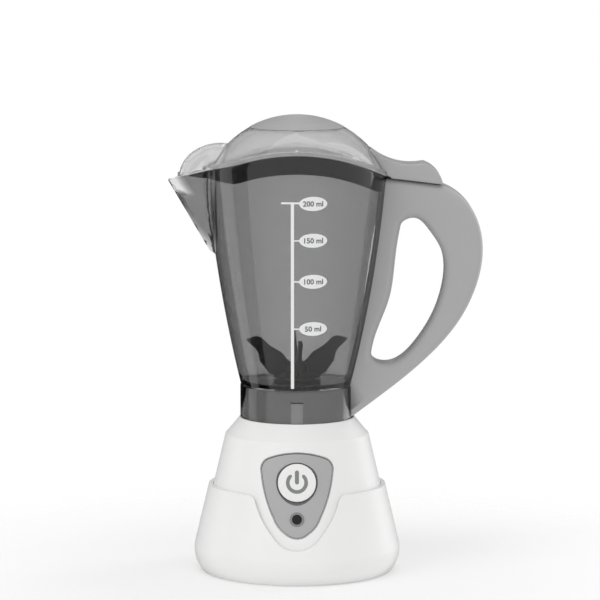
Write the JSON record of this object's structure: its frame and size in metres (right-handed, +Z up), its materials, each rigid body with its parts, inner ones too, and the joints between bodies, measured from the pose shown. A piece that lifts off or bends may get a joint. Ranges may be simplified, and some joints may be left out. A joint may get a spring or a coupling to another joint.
{
  "type": "toy blender",
  "caption": "Toy blender: battery base with a push button, clear spouted jug with a handle and an upright blade, and a domed lid.",
  "frame": {"origin": "centre of the foot ring's flat underside, on the drive axis", "axes": "+Z up along the drive axis, -Y towards the button side, -X towards the spout, +X towards the handle"},
  "size_m": [0.132, 0.087, 0.1924],
  "materials": {
    "housing_white": "smooth satin",
    "collar_white": "satin",
    "panel_grey": "fine matt",
    "button_white": "smooth",
    "lens_dark": "glossy",
    "board_green": "satin",
    "switch_black": "matt",
    "light_red": "glossy",
    "steel": "brushed",
    "frame_plastic": "matt",
    "gear_plastic": "satin",
    "motor_metal": "satin",
    "motor_cap": "matt",
    "brass": "satin",
    "tray_grey": "matt",
    "cell_case": "printed wrap",
    "lead_cover": "satin",
    "jug_smoke": "clear, smoke tint",
    "handle_grey": "fine matt",
    "lid_clear": "translucent",
    "blade_dark": "satin",
    "seal_rubber": "matt"
  },
  "bodies": {
    "base": {"base_lower_shell": "housing_white", "base_upper_shell": "housing_white", "base_screws": "steel", "coupling_collar": "collar_white", "collar_screws": "steel", "control_panel": "panel_grey", "indicator_lens": "lens_dark", "circuit_board": "board_green", "tact_switch": "switch_black", "indicator_light": "light_red", "board_screws": "steel", "gearbox_lower_plate": "frame_plastic", "gearbox_upper_plate": "frame_plastic", "gearbox_screws": "steel", "idler_axle": "steel", "output_bush": "brass", "motor_can": "motor_metal", "motor_end_cap": "motor_cap", "motor_terminals": "brass", "battery_tray": "tray_grey", "battery_cell_1": "cell_case", "battery_cell_2": "cell_case", "contact_plates": "steel", "contact_springs": "steel", "leads": "lead_cover"},
    "power_button": {"power_button": "button_white", "switch_plunger": "switch_black"},
    "drive": {"output_shaft": "steel", "output_gear": "gear_plastic", "drive_dog": "blade_dark"},
    "idler": {"idler_gear": "gear_plastic"},
    "motor_rotor": {"motor_shaft": "steel", "motor_pinion": "gear_plastic"},
    "battery_door": {"battery_door": "housing_white", "battery_door_screw": "steel"},
    "jug": {"jug_body": "jug_smoke", "handle": "handle_grey", "shaft_bush": "brass", "shaft_seal": "seal_rubber"},
    "blade": {"blade_rotor": "blade_dark", "blade_shaft": "steel", "jug_coupling": "blade_dark", "retaining_clip": "steel"},
    "lid": {"lid_dome": "lid_clear", "lid_cap": "handle_grey", "lid_ring": "jug_smoke", "lid_tab": "handle_grey"}
  },
  "joints": [
    {"name": "button_press", "type": "slide", "parent": "base", "child": "power_button", "axis": [0, 0.9729, -0.2312], "range_m": [0, 0.0012], "stiffness_N_per_m": 700},
    {"name": "drive_spin", "type": "hinge", "parent": "base", "child": "drive", "pos_m": [0, 0, 0.06], "axis": [0, 0, 1], "continuous": true},
    {"name": "idler_spin", "type": "hinge", "parent": "base", "child": "idler", "pos_m": [-0.00673, 0.00994, 0.05], "axis": [0, 0, 1], "continuous": true},
    {"name": "motor_spin", "type": "hinge", "parent": "base", "child": "motor_rotor", "pos_m": [0, 0.018, 0.05], "axis": [0, 0, 1], "continuous": true},
    {"name": "door_slide", "type": "slide", "parent": "base", "child": "battery_door", "axis": [0, 0, -1], "range_m": [0, 0.012]},
    {"name": "jug_lift", "type": "slide", "parent": "base", "child": "jug", "axis": [0, 0, 1], "range_m": [0, 0.0276]},
    {"name": "blade_spin", "type": "hinge", "parent": "jug", "child": "blade", "pos_m": [0, 0, 0.085], "axis": [0, 0, 1], "continuous": true},
    {"name": "lid_lift", "type": "slide", "parent": "jug", "child": "lid", "axis": [0, 0, 1], "range_m": [0, 0.022]}
  ],
  "couplings": [
    {"joint": "idler_spin", "follows": "drive_spin", "ratio": -3},
    {"joint": "motor_spin", "follows": "drive_spin", "ratio": 9.6},
    {"joint": "blade_spin", "follows": "drive_spin", "ratio": 1}
  ]
}
